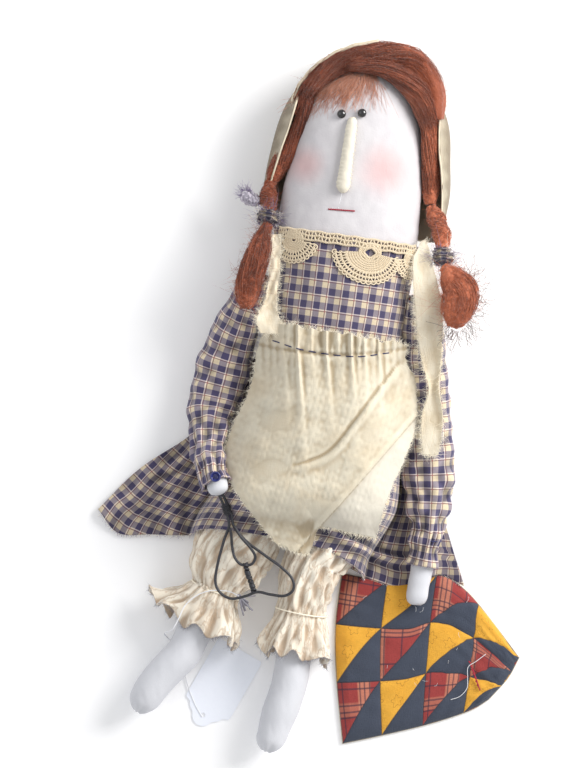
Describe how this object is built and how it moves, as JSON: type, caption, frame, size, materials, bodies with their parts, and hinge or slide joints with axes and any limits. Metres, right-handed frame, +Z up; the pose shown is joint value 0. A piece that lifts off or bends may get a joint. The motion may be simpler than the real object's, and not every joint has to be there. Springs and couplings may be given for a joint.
{
  "type": "rag doll",
  "caption": "Stuffed cloth doll in a checked dress, apron, bonnet and pantaloons, lying on its back with a wire rug beater in one hand and a patchwork quilt under the other.",
  "frame": {"origin": "middle of the bounding box in plan, on the floor that the doll lies on", "axes": "+X is the doll's left, +Y points to its head, +Z up from the floor"},
  "size_m": [0.3746, 0.6106, 0.0827],
  "materials": {
    "white_muslin": "muslin painted matte white, slightly grubby",
    "stuffing": "loose white fibre fill",
    "black_bead": "shiny black glass",
    "red_floss": "stranded cotton floss",
    "check_calico": "brushed woven check of navy, cream, red and pale lines",
    "cream_muslin": "tea-stained muslin, torn edges",
    "cotton_lace": "crocheted cream cotton",
    "auburn_wool": "matte wool roving",
    "cotton_thread": "twisted cotton",
    "blue_button": "satin dark blue",
    "dark_wire": "dark annealed wire, satin",
    "patchwork": "patchwork of gold, rust plaid and navy",
    "white_card": "bare matte card"
  },
  "bodies": {
    "torso": {"head_and_torso_skin": "white_muslin", "torso_stuffing": "stuffing", "right_eye_bead": "black_bead", "left_eye_bead": "black_bead", "nose": "white_muslin", "mouth_stitch": "red_floss", "bodice": "check_calico", "skirt_front": "check_calico", "skirt_back": "check_calico", "apron": "cream_muslin", "pantaloon_seat": "cream_muslin", "lace_collar": "cotton_lace", "hair_top_roll": "auburn_wool", "right_side_hair": "auburn_wool", "left_side_hair": "auburn_wool", "bonnet": "cream_muslin", "right_bonnet_tie": "cream_muslin", "left_bonnet_tie": "cream_muslin"},
    "right_arm": {"right_arm_skin": "white_muslin", "right_arm_stuffing": "stuffing", "right_sleeve": "check_calico", "right_cuff_button": "blue_button"},
    "left_arm": {"left_arm_skin": "white_muslin", "left_arm_stuffing": "stuffing", "left_sleeve": "check_calico", "left_wrist_gather": "cotton_thread"},
    "right_leg": {"right_leg_skin": "white_muslin", "right_leg_stuffing": "stuffing", "right_pantaloon_leg": "cream_muslin", "right_ankle_gather": "cotton_thread", "tag_string": "cotton_thread"},
    "left_leg": {"left_leg_skin": "white_muslin", "left_leg_stuffing": "stuffing", "left_pantaloon_leg": "cream_muslin", "left_ankle_gather": "cotton_thread"},
    "right_pigtail": {"right_pigtail_twist": "auburn_wool", "right_rag_tie": "check_calico", "right_pigtail_tail": "auburn_wool"},
    "left_pigtail": {"left_pigtail_twist": "auburn_wool", "left_rag_tie": "check_calico", "left_pigtail_tail": "auburn_wool"},
    "beater": {"beater_outer_wire": "dark_wire", "beater_inner_wire": "dark_wire", "beater_handle_binding": "dark_wire", "beater_cross_tie": "dark_wire"},
    "quilt": {"quilt_backing": "cream_muslin", "quilt_batting": "stuffing", "quilt_top": "patchwork"},
    "tag": {"hang_tag": "white_card"}
  },
  "joints": [
    {"name": "right_hip", "type": "hinge", "parent": "torso", "child": "right_leg", "pos_m": [-0.00624, -0.09989, 0.052], "axis": [-1, 0, 0], "range_deg": [0, 65], "deforming": ["skirt_front", "apron"]},
    {"name": "left_hip", "type": "hinge", "parent": "torso", "child": "left_leg", "pos_m": [-0.00624, -0.09989, 0.052], "axis": [-1, 0, 0], "range_deg": [0, 65]},
    {"name": "right_shoulder", "type": "hinge", "parent": "torso", "child": "right_arm", "pos_m": [-0.07924, 0.09611, 0.04], "axis": [-1, 0, 0], "range_deg": [0, 80], "deforming": ["right_pigtail_tail", "right_bonnet_tie"]},
    {"name": "left_shoulder", "type": "hinge", "parent": "torso", "child": "left_arm", "pos_m": [0.06176, 0.09611, 0.04], "axis": [-1, 0, 0], "range_deg": [0, 80], "deforming": ["left_pigtail_tail", "left_bonnet_tie"]},
    {"name": "right_pigtail_swing", "type": "hinge", "parent": "torso", "child": "right_pigtail", "pos_m": [-0.08004, 0.17461, 0.0495], "axis": [-1, 0, 0], "range_deg": [0, 60]},
    {"name": "left_pigtail_swing", "type": "hinge", "parent": "torso", "child": "left_pigtail", "pos_m": [0.05776, 0.17361, 0.0495], "axis": [-1, 0, 0], "range_deg": [0, 60]},
    {"name": "beater_swing", "type": "hinge", "parent": "right_arm", "child": "beater", "pos_m": [-0.08424, -0.09089, 0.057], "axis": [-1, 0, 0], "range_deg": [0, 65]},
    {"name": "quilt_swing", "type": "hinge", "parent": "left_arm", "child": "quilt", "pos_m": [0.09376, -0.13539, 0], "axis": [-1, 0, 0], "range_deg": [-120, 0]},
    {"name": "tag_flip", "type": "hinge", "parent": "right_leg", "child": "tag", "pos_m": [-0.06974, -0.21539, 0], "axis": [-0.3709, -0.9287, 0], "range_deg": [0, 36], "deforming": ["tag_string"]}
  ],
  "couplings": [
    {"joint": "left_hip", "follows": "right_hip", "ratio": 1},
    {"joint": "beater_swing", "follows": "right_hip", "ratio": 1},
    {"joint": "quilt_swing", "follows": "left_shoulder", "ratio": -1.5}
  ]
}
